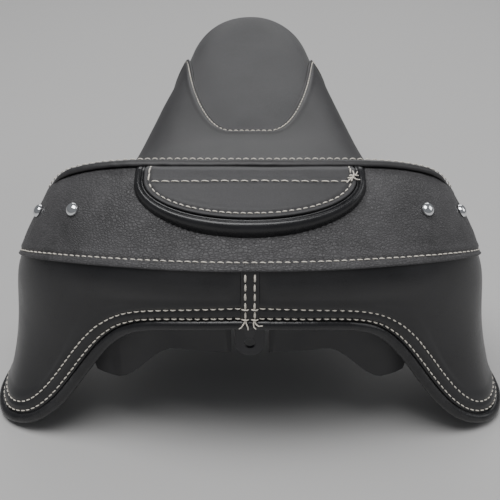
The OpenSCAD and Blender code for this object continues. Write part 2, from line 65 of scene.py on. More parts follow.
# Station from the rear seam (0) over the ridge (1) to the nose (4), then half width, Y and Z of the
# edge, Y and Z at the centre, two exponents of the section, and the swell of its shoulders
CUSHION = np.array([
    [0.0, 168, 142, 105, 0, 169.5, 2.47, 2.28, 0.36],
    [1.0, 168, 142, 105, 79, 212, 3.73, 2.57, 0],
    [1.3, 159, 172, 105, 116, 185, 3.2, 2.6, 0],
    [1.7, 146, 200, 94, 165, 160, 2.6, 2.3, 0],
    [2.2, 122.5, 245, 86, 245, 158, 2.7, 2.2, 0],
    [2.8, 102, 320, 94, 335, 170, 2.8, 2.2, 0],
    [3.4, 82, 390, 116, 425, 188, 2.6, 2.2, 0],
    [3.8, 69, 430, 134, 480, 200, 2.2, 2.1, 0],
    [4.0, 66, 440, 146, 494, 172, 2.2, 2.1, 0],
])
PAN = np.array([
    [0.0, 160, 140, 100, 12, 140, 2.47, 2.28, 0.34],
    [1.0, 159, 140, 100, 82, 127, 2.6, 2.57, 0],
    [1.3, 151, 171, 100, 118, 121, 2.6, 2.4, 0],
    [1.7, 138, 200, 89, 165, 113, 2.4, 2.3, 0],
    [2.2, 115, 245, 81, 245, 106, 2.4, 2.2, 0],
    [2.8, 94, 318, 89, 332, 118, 2.4, 2.2, 0],
    [3.4, 74, 386, 111, 414, 140, 2.4, 2.2, 0],
    [3.8, 60, 422, 129, 460, 156, 2.2, 2.1, 0],
    [4.0, 58, 432, 140, 482, 160, 2.2, 2.1, 0],
])


def section(table, v):
    """The row of a table at station v, by a smooth curve that doesn't overshoot."""
    v = np.clip(np.asarray(v, float), table[0, 0], table[-1, 0])
    k = np.clip(np.searchsorted(table[:, 0], v, side="right") - 1, 0, len(table) - 2)
    h = table[k + 1, 0] - table[k, 0]
    t = ((v - table[k, 0]) / h)[..., None]
    sec = (table[1:, 1:] - table[:-1, 1:]) / (table[1:, 0] - table[:-1, 0])[:, None]
    slope = np.zeros((len(table), table.shape[1] - 1))
    slope[0], slope[-1] = sec[0], sec[-1]
    a, b = sec[:-1], sec[1:]
    total = np.where(a + b == 0, 1, a + b)
    slope[1:-1] = np.where(a * b > 0, 2 * a * b / total, 0)
    h = h[..., None]
    return (
        (2 * t**3 - 3 * t**2 + 1) * table[k, 1:]
        + (t**3 - 2 * t**2 + t) * h * slope[k]
        + (-2 * t**3 + 3 * t**2) * table[k + 1, 1:]
        + (t**3 - t**2) * h * slope[k + 1]
    )


def point(table, u, v):
    """Place at angle u (0 at the centre, 90 at the right edge) and station v."""
    u, v = np.broadcast_arrays(np.asarray(u, float), np.asarray(v, float))
    w, ye, ze, yc, zc, n, m, q = np.moveaxis(section(table, v), -1, 0)
    s, c = np.abs(np.sin(np.radians(u))), np.abs(np.cos(np.radians(u)))
    r = (s**n + c**n) ** (-1 / n)
    sx, cz = s * r, c * r
    cy = np.maximum(1 - sx**m, 0) ** (1 / m)
    return np.stack(
        [w * sx * np.sign(u) * (1 + q * cz * sx**4), ye + (yc - ye) * cy, ze + (zc - ze) * cz],
        -1,
    )


def unit(a):
    return a / np.maximum(np.linalg.norm(a, axis=-1, keepdims=True), 1e-12)


def normal(table, u, v):
    u, v = np.broadcast_arrays(np.asarray(u, float), np.asarray(v, float))
    w = np.clip(u, -87, 87)
    across = point(table, w + 1, v) - point(table, w - 1, v)
    along = point(table, w, np.minimum(4, v + 0.02)) - point(table, w, np.maximum(0, v - 0.02))
    return unit(np.cross(across, along))


def skin(table, u, v, h=0.0):
    return point(table, u, v) + np.asarray(h, float)[..., None] * normal(table, u, v)


def ease(x, a, b):
    s = np.clip((np.asarray(x, float) - a) / (b - a), 0, 1)
    return s * s * (3 - 2 * s)


def gauss(x, w):
    return np.exp(-((np.asarray(x, float) / w) ** 2))


def nose_seam(u):
    return 2.34 + 1.16 * ease(np.abs(u), 8, 52)


BAND_LEN = 90.0


def band_uv(x, s):
    """Angle and station of a place x across and s down the band from the ridge."""
    x, s = np.broadcast_arrays(np.asarray(x, float), np.asarray(s, float))
    v = 1 - s / BAND_LEN
    q = section(CUSHION, v)
    n = q[..., 5]
    sx = np.minimum(0.99, np.abs(x) / q[..., 0])
    return np.degrees(np.sign(x) * np.arctan2(sx, (1 - sx**n) ** (1 / n))), v


def on_band(x, s, h=0.0):
    u, v = band_uv(x, s)
    return skin(CUSHION, u, v, h)


MOON_POWER, MOON_FLAT = 2.2, 22.0
FLAP_W, FLAP_LOW, HINGE_S = 75.5, 53.0, 26.0


def moon_s(x, half_w, s_low):
    """How far down the band the half-moon's lower edge lies at x."""
    inside = np.maximum(0, 1 - (np.abs(x) / half_w) ** MOON_POWER)
    return MOON_FLAT + (s_low - MOON_FLAT) * inside ** (1 / MOON_POWER)


def moon_point(a, half_w, s_low):
    c, s = np.cos(np.radians(a)), np.abs(np.sin(np.radians(a)))
    return (
        half_w * np.sign(c) * np.abs(c) ** (2 / MOON_POWER),
        MOON_FLAT + (s_low - MOON_FLAT) * s ** (2 / MOON_POWER),
    )


# Seam length from the rear centre to the cushion's widest point, and to the skirt's front end
SEAM_RUN, SKIRT_RUN = 282.0, 325.0
ARCH_H, LOBE_FLARE, ROLL_D = 118.0, 36.0, 8.0
STRIP_HALF, STRIP_ROWS = 7.2, (-3.5, 3.5)
FLAP_INSET = 3.6
BAND_PITCH = HEM_PITCH = 5.8
RIDGE_PITCH, FLAP_PITCH, HINGE_PITCH = 5.6, 4.9, 7.0


def edge(a):
    """Edge of the cushion at distance a from the rear centre; the skirt hangs from it."""
    a = np.asarray(a, float)
    b = np.abs(a)
    rear = point(CUSHION, np.clip(a / SEAM_RUN * 90, -90, 90), 0.0)
    side = point(CUSHION, np.sign(a) * 90, 1 + np.maximum(0, b - SEAM_RUN) / 83)
    return np.where((b <= SEAM_RUN)[..., None], rear, side)


def edge_out(a):
    d = edge(a + 1.0) - edge(a - 1.0)
    return unit(np.stack([d[..., 1], -d[..., 0], np.zeros_like(d[..., 0])], -1))


def bend(t, r):
    return (t + np.sqrt(t * t + r * r)) / 2


def hem_z(a):
    """Lowest line of the skirt: an arch over the rear, down to the lobes, up to the front ends."""
    b = np.abs(a)
    fall = bend(b - 108, 26) - bend(b - 148, 27)
    return ARCH_H * (0.983 - fall / 36.1) + 0.68 * bend(b - 233, 42) + 1.9 * gauss(b, 48)


def above_hem(a, d):
    """Height of a line that runs parallel to the hem, d above it."""
    foot = np.asarray(a, float)
    for _ in range(5):
        rise = hem_z(foot + 0.5) - hem_z(foot - 0.5)
        z = hem_z(foot) + d / np.sqrt(1 + rise * rise)
        foot = a + d * rise / np.sqrt(1 + rise * rise)
    return z


def on_skirt(a, z, depth=0.0):
    a, z = np.broadcast_arrays(np.asarray(a, float), np.asarray(z, float))
    b = np.abs(a)
    e, out = edge(a), edge_out(a)
    top = e[..., 2] - 2.2
    w = (top - z) / (top - hem_z(a))
    belly = 8 + 47 * ease(b, 40, 169)
    flare = (-2 + (LOBE_FLARE + 2) * ease(b, 98, 188)) * (1 - 0.6 * ease(b, 174, 281))
    o = -1 + flare * np.maximum(0, w) ** 1.9 + belly * w * np.maximum(0, 1 - w) ** 4 - depth
    return np.stack([e[..., 0] + out[..., 0] * o, e[..., 1] + out[..., 1] * o, z], -1)


def skirt_normal(a, z):
    da = on_skirt(a + 0.5, z) - on_skirt(a - 0.5, z)
    dz = on_skirt(a, z + 0.5) - on_skirt(a, z - 0.5)
    return unit(np.cross(da, dz))


# ---------------------------------------------------------------- meshes


def metres(p):
    return (np.asarray(p, float) - DATUM) / 1000.0


def smooth_noise(p, size, seed=0):
    """Value noise of a few waves, about -1 to 1; p in mm."""
    r = np.random.default_rng(100 + seed)
    total = np.zeros(p.shape[:-1])
    for _ in range(7):
        k = unit(r.normal(size=3)) * (2 * math.pi / size) * r.uniform(0.6, 1.5)
        total += np.sin(p @ k + r.uniform(0, 6.28))
    return total / 3.5


def make(name, verts, faces, material, body="seat", node=None, slot=None):
    """One visible piece from places in mm; it rides a body and stands in for the CAD nodes."""
    mesh = bpy.data.meshes.new(name)
    verts = metres(verts).reshape(-1, 3)
    if isinstance(faces, np.ndarray):
        n, k = faces.shape
        mesh.vertices.add(len(verts))
        mesh.vertices.foreach_set("co", verts.astype(np.float32).ravel())
        mesh.loops.add(n * k)
        mesh.loops.foreach_set("vertex_index", faces.astype(np.int32).ravel())
        mesh.polygons.add(n)
        mesh.polygons.foreach_set("loop_start", np.arange(0, n * k, k, dtype=np.int32))
        mesh.update(calc_edges=True)
        mesh.validate()
    else:
        mesh.from_pydata([tuple(v) for v in verts], [], [tuple(map(int, f)) for f in faces])
    mesh.polygons.foreach_set("use_smooth", [True] * len(mesh.polygons))
    mesh.materials.append(material)
    obj = bpy.data.objects.new(name, mesh)
    bpy.context.scene.collection.objects.link(obj)
    if body:
        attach(obj, body)
    if node:
        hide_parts(*([node] if isinstance(node, str) else node))
    return obj


def grid_faces(rows, cols, keep=None, closed=False, base=0):
    i, j = np.meshgrid(np.arange(rows - 1), np.arange(cols if closed else cols - 1), indexing="ij")
    if keep is not None:
        mask = keep(i, j)
        i, j = i[mask], j[mask]
    i, j = i.ravel(), j.ravel()
    k = (j + 1) % cols
    return base + np.stack([i * cols + j, i * cols + k, (i + 1) * cols + k, (i + 1) * cols + j], 1)


def slab_faces(rows, cols, keep=None):
    """Faces of a closed layer: grid 0 is the outer face, grid 1 the inner one."""
    n = rows * cols
    m = np.ones((rows - 1, cols - 1), bool)
    if keep is not None:
        i, j = np.meshgrid(np.arange(rows - 1), np.arange(cols - 1), indexing="ij")
        m = keep(i, j)
    i, j = np.nonzero(m)
    a, b, c, d = i * cols + j, i * cols + j + 1, (i + 1) * cols + j + 1, (i + 1) * cols + j
    out = [np.stack([a, b, c, d], 1), n + np.stack([d, c, b, a], 1)]
    pad = np.zeros((rows + 1, cols + 1), bool)
    pad[1:-1, 1:-1] = m
    for di, dj, p, q in ((-1, 0, a, b), (0, 1, b, c), (1, 0, c, d), (0, -1, d, a)):
        free = ~pad[i + 1 + di, j + 1 + dj]
        out.append(np.stack([q[free], p[free], p[free] + n, q[free] + n], 1))
    return np.concatenate(out)


def slab(name, outer, inner, material, keep=None, **kw):
    rows, cols = outer.shape[:2]
    verts = np.concatenate([outer.reshape(-1, 3), inner.reshape(-1, 3)])
    obj = make(name, verts, slab_faces(rows, cols, keep), material, **kw)
    obj.data.set_sharp_from_angle(angle=math.radians(50))
    return obj


def sweep(rings):
    """Verts and faces of a tube through rings (n, k, 3), with fans over its ends."""
    n, k = rings.shape[:2]
    verts = np.concatenate([rings.reshape(-1, 3), rings[0].mean(0)[None], rings[-1].mean(0)[None]])
    faces = [tuple(f) for f in grid_faces(n, k, closed=True)]
    for j in range(k):
        faces.append((n * k, (j + 1) % k, j))
        faces.append((n * k + 1, (n - 1) * k + j, (n - 1) * k + (j + 1) % k))
    return verts, faces


def tube_rings(path, out, radius, sides=10, flat=1.0):
    """Rings round a path; out is the direction that counts as up, flat squashes that way."""
    path = np.asarray(path, float)
    along = unit(np.gradient(path, axis=0))
    side = unit(np.cross(along, np.broadcast_to(out, path.shape)))
    up = np.cross(side, along)
    radius = np.broadcast_to(np.asarray(radius, float), (len(path),))
    t = np.linspace(0, 2 * math.pi, sides, endpoint=False)
    return (
        path[:, None]
        + side[:, None] * np.cos(t)[None, :, None] * radius[:, None, None]
        + up[:, None] * np.sin(t)[None, :, None] * radius[:, None, None] * flat
    )


def join(parts):
    verts, faces, n = [], [], 0
    for v, f in parts:
        verts.append(v)
        faces += [tuple(n + i for i in q) for q in f]
        n += len(v)
    return np.concatenate(verts), faces


class Line:
    """A line on the leather with its outward directions: stitches and puckers follow it."""

    def __init__(self, pts, out, step=0.4):
        pts, out = np.asarray(pts, float), np.asarray(out, float)
        run = np.concatenate([[0], np.cumsum(np.linalg.norm(np.diff(pts, axis=0), axis=1))])
        self.length = run[-1]
        self.s = np.linspace(0, self.length, max(2, int(self.length / step)))
        self.p = np.stack([np.interp(self.s, run, pts[:, i]) for i in range(3)], 1)
        self.n = unit(np.stack([np.interp(self.s, run, out[:, i]) for i in range(3)], 1))
        self.tree = kdtree.KDTree(len(self.p))
        for i, q in enumerate(self.p):
            self.tree.insert(q, i)
        self.tree.balance()

    def near(self, pts, reach=40.0):
        """Distance to the line and the length along it of each point; far ones count as 1e3."""
        flat = np.asarray(pts, float).reshape(-1, 3)
        lo, hi = self.p.min(0) - reach, self.p.max(0) + reach
        d, s = np.full(len(flat), 1e3), np.zeros(len(flat))
        for i in np.nonzero(((flat > lo) & (flat < hi)).all(1))[0]:
            _, k, d[i] = self.tree.find(flat[i])
            s[i] = self.s[k]
        return d.reshape(pts.shape[:-1]), s.reshape(pts.shape[:-1])

    def at(self, s):
        p = np.stack([np.interp(s, self.s, self.p[:, i]) for i in range(3)], -1)
        n = np.stack([np.interp(s, self.s, self.n[:, i]) for i in range(3)], -1)
        return p, unit(n)

    def pucker(self, pts, pitch, depth=0.55, width=1.5, swell=0.3):
        """How far a row of stitches pulls the leather in, and how it swells beside the row."""
        d, s = self.near(pts, 12)
        wave = 0.5 + 0.5 * np.cos(2 * math.pi * s / pitch)
        pull = -depth * gauss(d, width) * (0.45 + 0.55 * wave)
        return pull + swell * (gauss(d - 3.4, 2.2) + 0.25 * wave * gauss(d - 2.6, 1.4))


def stitch_row(name, line, pitch, fill=0.74, radius=0.5, lift=0.3, dip=0.7, slant=0.035,
               body="seat", start=0.0, end=None):
    """One thread stitch per pitch: each bulges out of the leather and dives back in at its ends."""
    end = line.length if end is None else end
    count = max(1, int(round((end - start) / pitch)))
    pitch = (end - start) / count
    parts = []
    for k in range(count):
        a = start + (k + (1 - fill) / 2) * pitch + rng.normal(0, 0.12)
        b = a + fill * pitch + rng.normal(0, 0.12)
        t = np.linspace(0, 1, 9)
        p, n = line.at(a + (b - a) * t)
        along = unit(p[-1] - p[0])
        side = unit(np.cross(along, n))
        arc = np.sin(math.pi * t) ** 0.6
        offset = (t - 0.5)[:, None] * (2 * slant * (b - a)) + rng.normal(0, 0.05)
        p = p + n * (-dip + (dip + lift) * arc)[:, None] + side * offset
        thick = radius * (0.55 + 0.45 * arc) * rng.uniform(0.94, 1.06)
        parts.append(sweep(tube_rings(p, n, thick, 8, 0.82)))
    v, f = join(parts)
    return make(name, v, f, THREAD, body=body)


# ---------------------------------------------------------------- materials


def node_material(name):
    mat = bpy.data.materials.new(name)
    mat.use_nodes = True
    nodes, links = mat.node_tree.nodes, mat.node_tree.links
    nodes.clear()
    out = nodes.new("ShaderNodeOutputMaterial")
    bsdf = nodes.new("ShaderNodeBsdfPrincipled")
    links.new(bsdf.outputs[0], out.inputs[0])
    coord = nodes.new("ShaderNodeTexCoord")

    def add(kind, **kw):
        node = nodes.new(kind)
        for key, value in kw.items():
            if key in node.inputs:
                node.inputs[key].default_value = value
            else:
                setattr(node, key, value)
        return node

    return mat, add, links.new, bsdf, coord.outputs["Object"]


def ramp(add, link, source, stops):
    node = add("ShaderNodeValToRGB")
    link(source, node.inputs[0])
    while len(node.color_ramp.elements) < len(stops):
        node.color_ramp.elements.new(0.5)
    for e, (pos, value) in zip(node.color_ramp.elements, stops):
        e.position = pos
        e.color = (*value, 1) if isinstance(value, tuple) else (value, value, value, 1)
    return node.outputs[0]


def math_node(add, link, op, a, b):
    node = add("ShaderNodeMath", operation=op)
    for i, x in enumerate((a, b)):
        if isinstance(x, (int, float)):
            node.inputs[i].default_value = x
        else:
            link(x, node.inputs[i])
    return node.outputs[0]


def leather(name, color, cell_mm, grain, rough, stretch=(1, 1, 1), fine=0.25, sheen=0.0):
    """Grained hide: warped cells with creases between them, painted shade in the creases, pores, and patches of
    wear.
    """
    mat, add, link, bsdf, coord = node_material(name)
    mapping = add("ShaderNodeMapping", Scale=stretch)
    link(coord, mapping.inputs["Vector"])
    warp = add("ShaderNodeTexNoise", Scale=1000 / (cell_mm * 4.5), Detail=2.0)
    link(mapping.outputs[0], warp.inputs["Vector"])
    mixed = add("ShaderNodeVectorMath", operation="MULTIPLY_ADD")
    link(warp.outputs["Color"], mixed.inputs[0])
    mixed.inputs[1].default_value = (cell_mm * 0.0016,) * 3
    link(mapping.outputs[0], mixed.inputs[2])
    cells = add("ShaderNodeTexVoronoi", feature="DISTANCE_TO_EDGE", Scale=1000 / cell_mm)
    link(mixed.outputs[0], cells.inputs["Vector"])
    pebble = ramp(add, link, cells.outputs["Distance"], [(0.0, 0.0), (0.12, 0.55), (0.4, 1.0)])
    small = add("ShaderNodeTexVoronoi", feature="DISTANCE_TO_EDGE", Scale=1000 / (cell_mm * 0.42))
    link(mixed.outputs[0], small.inputs["Vector"])
    pores = ramp(add, link, small.outputs["Distance"], [(0.0, 0.0), (0.2, 0.8), (0.5, 1.0)])
    mottle = add("ShaderNodeTexNoise", Scale=38.0, Detail=4.0, Roughness=0.6)
    link(coord, mottle.inputs["Vector"])
    height = math_node(add, link, "MULTIPLY_ADD", pores, fine)
    height.node.inputs[2].default_value = 0.0
    link(pebble, height.node.inputs[2])
    bump = add("ShaderNodeBump", Strength=grain, Distance=cell_mm * 0.00022)
    link(height, bump.inputs["Height"])
    link(bump.outputs[0], bsdf.inputs["Normal"])
    dark = tuple(c * 0.72 for c in color)
    light = tuple(min(1, c * 1.22) for c in color)
    tone = ramp(add, link, mottle.outputs["Fac"], [(0.3, dark), (0.7, light)])
    # The base colour is darkened in the creases between the grain's cells: painted shade.
    painted_crease_shade = add("ShaderNodeMix", data_type="RGBA", blend_type="MULTIPLY")
    painted_crease_shade.inputs[0].default_value = 0.45
    link(tone, painted_crease_shade.inputs[6])
    link(pebble, painted_crease_shade.inputs[7])
    link(painted_crease_shade.outputs[2], bsdf.inputs["Base Color"])
    worn = ramp(add, link, mottle.outputs["Fac"], [(0.25, rough - 0.05), (0.75, rough + 0.07)])
    link(math_node(add, link, "ADD", worn, math_node(add, link, "MULTIPLY", pebble, -0.06)),
         bsdf.inputs["Roughness"])
    bsdf.inputs["Sheen Weight"].default_value = sheen
    bsdf.inputs["Sheen Roughness"].default_value = 0.5
    return mat


def cloth(name, color, thread_mm, depth=0.5, rough=0.85):
    """Woven or napped cloth."""
    mat, add, link, bsdf, coord = node_material(name)
    k = 1000 * math.pi / thread_mm / 3.1
    a = add("ShaderNodeTexWave", Scale=k / 6.3, Distortion=0.8, bands_direction="X")
    b = add("ShaderNodeTexWave", Scale=k / 6.3, Distortion=0.8, bands_direction="DIAGONAL")
    fuzz = add("ShaderNodeTexNoise", Scale=2600.0, Detail=3.0)
    for n in (a, b, fuzz):
        link(coord, n.inputs["Vector"])
    weave = math_node(add, link, "MAXIMUM", a.outputs["Fac"], b.outputs["Fac"])
    h = math_node(add, link, "ADD", weave, fuzz.outputs["Fac"])
    bump = add("ShaderNodeBump", Strength=depth, Distance=0.0003)
    link(h, bump.inputs["Height"])
    link(bump.outputs[0], bsdf.inputs["Normal"])
    tone = ramp(add, link, fuzz.outputs["Fac"],
                [(0.3, tuple(c * 0.6 for c in color)), (0.7, tuple(min(1, c * 1.3) for c in color))])
    link(tone, bsdf.inputs["Base Color"])
    bsdf.inputs["Roughness"].default_value = rough
    bsdf.inputs["Sheen Weight"].default_value = 0.2
    return mat


def hard(name, color, rough, metal=0.0, scale=900.0, depth=0.25, stretch=(1, 1, 1), spread=0.08, dist=0.0002):
    """Plastic, rubber, paint or metal with a fine surface and patches of wear."""
    mat, add, link, bsdf, coord = node_material(name)
    mapping = add("ShaderNodeMapping", Scale=stretch)
    link(coord, mapping.inputs["Vector"])
    fine = add("ShaderNodeTexNoise", Scale=scale, Detail=4.0)
    link(mapping.outputs[0], fine.inputs["Vector"])
    wide = add("ShaderNodeTexNoise", Scale=45.0, Detail=4.0)
    link(coord, wide.inputs["Vector"])
    bump = add("ShaderNodeBump", Strength=depth, Distance=dist)
    link(fine.outputs["Fac"], bump.inputs["Height"])
    link(bump.outputs[0], bsdf.inputs["Normal"])
    tone = ramp(add, link, wide.outputs["Fac"],
                [(0.3, tuple(c * 0.8 for c in color)), (0.7, tuple(min(1, c * 1.12) for c in color))])
    link(tone, bsdf.inputs["Base Color"])
    link(ramp(add, link, wide.outputs["Fac"], [(0.3, max(0, rough - spread)), (0.7, rough + spread)]),
         bsdf.inputs["Roughness"])
    bsdf.inputs["Metallic"].default_value = metal
    return mat


def thread_material(name, color):
    """Twisted two-ply thread."""
    mat, add, link, bsdf, coord = node_material(name)
    twist = add("ShaderNodeTexWave", Scale=330.0, Distortion=1.5, bands_direction="DIAGONAL")
    fuzz = add("ShaderNodeTexNoise", Scale=1500.0, Detail=3.0)
    for n in (twist, fuzz):
        link(coord, n.inputs["Vector"])
    bump = add("ShaderNodeBump", Strength=0.6, Distance=0.0002)
    link(twist.outputs["Fac"], bump.inputs["Height"])
    link(bump.outputs[0], bsdf.inputs["Normal"])
    link(ramp(add, link, fuzz.outputs["Fac"],
              [(0.3, tuple(c * 0.8 for c in color)), (0.65, color)]), bsdf.inputs["Base Color"])
    bsdf.inputs["Roughness"].default_value = 0.62
    bsdf.inputs["Sheen Weight"].default_value = 0.3
    return mat


THREAD = thread_material("cream_thread", (0.80, 0.75, 0.66))
# The seat cover, ridge, nose, flap and band leathers have lighter base colours than the skirt and roll leathers,
# though all are one black leather: painted light on the upward faces that the light falls on.
LIT_SMOOTH = leather("smooth_leather", (0.040, 0.039, 0.041), 0.9, 0.22, 0.50, fine=0.5)
SKIRT = leather("skirt_leather", (0.017, 0.017, 0.019), 1.0, 0.12, 0.34, fine=0.5)
LIT_INSERT = leather("nose_leather", (0.046, 0.045, 0.048), 0.9, 0.25, 0.58, fine=0.6, sheen=0.1)
LIT_GRAIN = leather("grained_leather", (0.072, 0.070, 0.073), 2.1, 0.75, 0.50, stretch=(0.72, 1, 1.25), fine=0.35)
ROLL = leather("roll_leather", (0.016, 0.016, 0.018), 0.9, 0.13, 0.30, fine=0.5)
FLESH = leather("flesh_side", (0.060, 0.052, 0.045), 0.5, 0.8, 0.9, fine=0.8, sheen=0.3)
LINING = cloth("lining_cloth", (0.022, 0.022, 0.024), 0.7)
FELT = cloth("black_felt", (0.02, 0.02, 0.022), 1.6, 0.9, 0.98)
TAPE = cloth("hook_tape", (0.010, 0.010, 0.011), 1.1, 1.0, 0.8)
FOAM = hard("foam", (0.66, 0.56, 0.36), 0.95, scale=700.0, depth=1.0, spread=0.03, dist=0.0006)
PLASTIC = hard("pan_plastic", (0.018, 0.018, 0.020), 0.52, scale=1400.0, depth=0.5)
RUBBER = hard("rubber", (0.014, 0.014, 0.015), 0.72, scale=1200.0, depth=0.5)
ZINC = hard("zinc_steel", (0.55, 0.56, 0.58), 0.34, 1.0, 500.0, 0.25, stretch=(1, 14, 1))
BLACK_STEEL = hard("black_steel", (0.028, 0.028, 0.031), 0.42, 0.0, 700.0, 0.2)
CHROME = hard("chrome", (0.87, 0.88, 0.90), 0.06, 1.0, 260.0, 0.04, spread=0.03)

# ---------------------------------------------------------------- lines of stitches and seams

BAND_ROW = 6.0 / BAND_LEN
band_u = np.linspace(-90, 90, 721)[6:-6]
band_line = Line(skin(CUSHION, band_u, BAND_ROW), normal(CUSHION, band_u, BAND_ROW))
# The ridge's roll and its row of stitches, in mm in front of the ridge
RIDGE_S, ROW_S = 6.2, 1.4


def beyond_ridge(s):
    """Station of a place s mm in front of the ridge at the centre; negative s lies on the band."""
    s = np.asarray(s, float)
    return 1 + np.where(s > 0, s / 142.0, s / BAND_LEN)


def ridge_fade(u):
    """How much of the ridge's roll is left at angle u: it dies out round the corners."""
    return 1 - ease(np.abs(u), 42, 56)


ridge_u = np.linspace(-54, 54, 600)
ridge_line = Line(
    skin(CUSHION, ridge_u, beyond_ridge(ROW_S), 4.2 * ridge_fade(ridge_u)),
    normal(CUSHION, ridge_u, beyond_ridge(ROW_S)),
)

seam_u = np.linspace(-89, 89, 900)
u_line = Line(skin(CUSHION, seam_u, nose_seam(seam_u)), normal(CUSHION, seam_u, nose_seam(seam_u)), 0.6)
inside_u = np.linspace(-78, 78, 900)


def beside_seam(u, v, d):
    """Moves points on the seam line back by d mm, square to the line and on the surface."""
    p = skin(CUSHION, u, v)
    n = normal(CUSHION, u, v)
    t = unit(np.gradient(p, axis=0))
    return p + np.cross(n, t) * -d, n


p, n = beside_seam(inside_u, nose_seam(inside_u), 3.0)
nose_stitch_line = Line(p, n)

moon_a = np.linspace(180, 0, 300)


def moon_outline(inset):
    """Left side, round and right side of the flap's outline, inset by some mm."""
    x, s = moon_point(moon_a, FLAP_W - inset, FLAP_LOW - inset)
    top = 4.0
    side = np.linspace(top, MOON_FLAT, 30)[:-1]
    x = np.concatenate([np.full(29, -(FLAP_W - inset)), x, np.full(29, FLAP_W - inset)])
    s = np.concatenate([side, s, side[::-1]])
    return x, s


def band_line_at(x, s, h):
    u, v = band_uv(x, s)
    return Line(skin(CUSHION, u, v, h), normal(CUSHION, u, v))


FLAP_TOP = 5.6


def tucked(s):
    """Share of a layer's full height at s mm below the ridge: it dips in under the ridge's roll."""
    return 0.22 + 0.78 * ease(s, 3.0, 15.0)


def flap_row(inset):
    x, s = moon_outline(inset)
    return band_line_at(x, s, FLAP_TOP * tucked(s))


flap_stitch_line = flap_row(FLAP_INSET)
hinge_x = np.linspace(-70.5, 70.5, 200)
hinge_line = band_line_at(hinge_x, HINGE_S - 0.9 - 1.2 * gauss(hinge_x, 50), FLAP_TOP)

skirt_a = np.linspace(-SKIRT_RUN + 5, SKIRT_RUN - 5, 1200)


def skirt_line(d):
    z = above_hem(skirt_a, d)
    return Line(on_skirt(skirt_a, z), skirt_normal(skirt_a, z))


# The two rows draw apart toward the middle
ROW_LOW, ROW_HIGH = 10.2, 17.0 + 2.1 * gauss(skirt_a, 70)
hem_line_low, hem_line_high = skirt_line(ROW_LOW), skirt_line(ROW_HIGH)

# ---------------------------------------------------------------- cushion covers


def add_rows(*parts):
    return np.unique(np.round(np.concatenate(parts), 5))


def tuck_under(side, v, sign, drop, steps):
    """Columns of points from a cover's side edge round and under the pan."""
    under = skin(PAN, sign * 84.0, v, -5.0)
    cols = []
    for t in steps:
        bow = np.sin(math.pi * t)
        col = side * (1 - t) + under * t
        col[:, 0] += sign * 1.2 * bow
        col[:, 2] -= drop * bow
        cols.append(col)
    return np.stack(cols, 1)


def seat_cover():
    us = np.linspace(-90, 90, 541)
    k = add_rows(np.linspace(0, 1, 150), np.linspace(0, 0.03, 14), np.linspace(0.93, 1, 26))
    v0 = beyond_ridge((RIDGE_S - 0.6) * ease(ridge_fade(us), 0, 0.6) - 0.5)
    uu = np.broadcast_to(us, (len(k), len(us)))
    vv = v0 + (nose_seam(uu) - v0) * k[:, None]
    base, out = skin(CUSHION, uu, vv), normal(CUSHION, uu, vv)
    d, _ = u_line.near(base)
    h = nose_stitch_line.pucker(base, 6.0, 0.6, 1.5, 0.4)
    h = h + 1.6 * gauss(np.maximum(0, d - 1), 14) * (d < 100)
    h = h - 1.4 * np.where(d < 1.4, 1 - np.sqrt(np.maximum(0, 1 - (1 - d / 1.4) ** 2)), 0)
    # Soft dips where the leather is stretched across the bucket
    h = h + 0.5 * smooth_noise(base, 90, 1) * ease(vv, 1.1, 1.5) * (1 - ease(np.abs(uu), 50, 80))
    top = base + out * h[..., None]
    # The cover's lower edge turns under the pan at each side
    drop = 0.8 + 4.5 * ease(vv, 1.5, 1.62)
    sides = [
        tuck_under(top[:, j], np.maximum(vv[:, j], 1.0), sign, drop[:, j], np.linspace(0.12, 1, 9))
        for j, sign in ((0, -1), (-1, 1))
    ]
    full = np.concatenate([sides[0][:, ::-1], top, sides[1]], 1)
    # A folded edge along the seam with the nose
    fold = base[-1] + out[-1] * (h[-1] - 2.4)[:, None]
    pad = np.concatenate([sides[0][-1][::-1], fold, sides[1][-1]], 0)
    grid = np.concatenate([full, pad[None]], 0)
    return make("seat_cover", grid, grid_faces(*grid.shape[:2]), LIT_SMOOTH,
                node="seat_cover", slot="smooth_leather")


def nose_cover():
    us = np.linspace(-90, 90, 361)
    k = add_rows(np.linspace(0, 1, 110), np.linspace(0, 0.06, 14))
    uu = np.broadcast_to(us, (len(k), len(us)))
    v0 = nose_seam(uu) - 0.03
    vv = v0 + (4.0 - v0) * k[:, None]
    base, out = skin(CUSHION, uu, vv), normal(CUSHION, uu, vv)
    d, _ = u_line.near(base)
    inside = ease(vv - nose_seam(uu), -0.01, 0.02)
    h = -1.7 * gauss(d, 18) * inside - 0.8 - 1.5 * (1 - inside)
    h = h + 0.25 * smooth_noise(base, 60, 2)
    top = base + out * h[..., None]
    rows = [top]
    # Round the front edge and turn it under the pan
    e = top[-1]
    q = skin(PAN, us * 0.94, 3.93, -5.0)
    for t in np.linspace(0.15, 1, 8):
        r = e * (1 - t) + q * t
        r[:, 2] -= 5.0 * np.sin(math.pi * t) * np.cos(np.radians(us)) ** 0.3 * 0.6
        r[:, 1] += 3.0 * np.sin(math.pi * t)
        rows.append(r[None])
    grid = np.concatenate(rows, 0)
    sides = [
        tuck_under(grid[:, j], np.append(vv[:, j], np.full(8, 3.95)), sign, 5.3, np.linspace(0.15, 1, 8))
        for j, sign in ((0, -1), (-1, 1))
    ]
    grid = np.concatenate([sides[0][:, ::-1], grid, sides[1]], 1)
    return make("nose_cover", grid, grid_faces(*grid.shape[:2]), LIT_INSERT,
                node="nose_cover", slot="nose_leather")


def soft_profile(corners, count):
    """A polyline resampled to count points, with its corners rounded off."""
    t = np.linspace(0, len(corners) - 1, count)
    curves = [np.interp(t, np.arange(len(corners)), corners[:, i]) for i in (0, 1)]
    for c in curves:
        c[2:-2] = np.convolve(c, np.array([1, 2, 3, 2, 1]) / 9, "valid")
    return curves


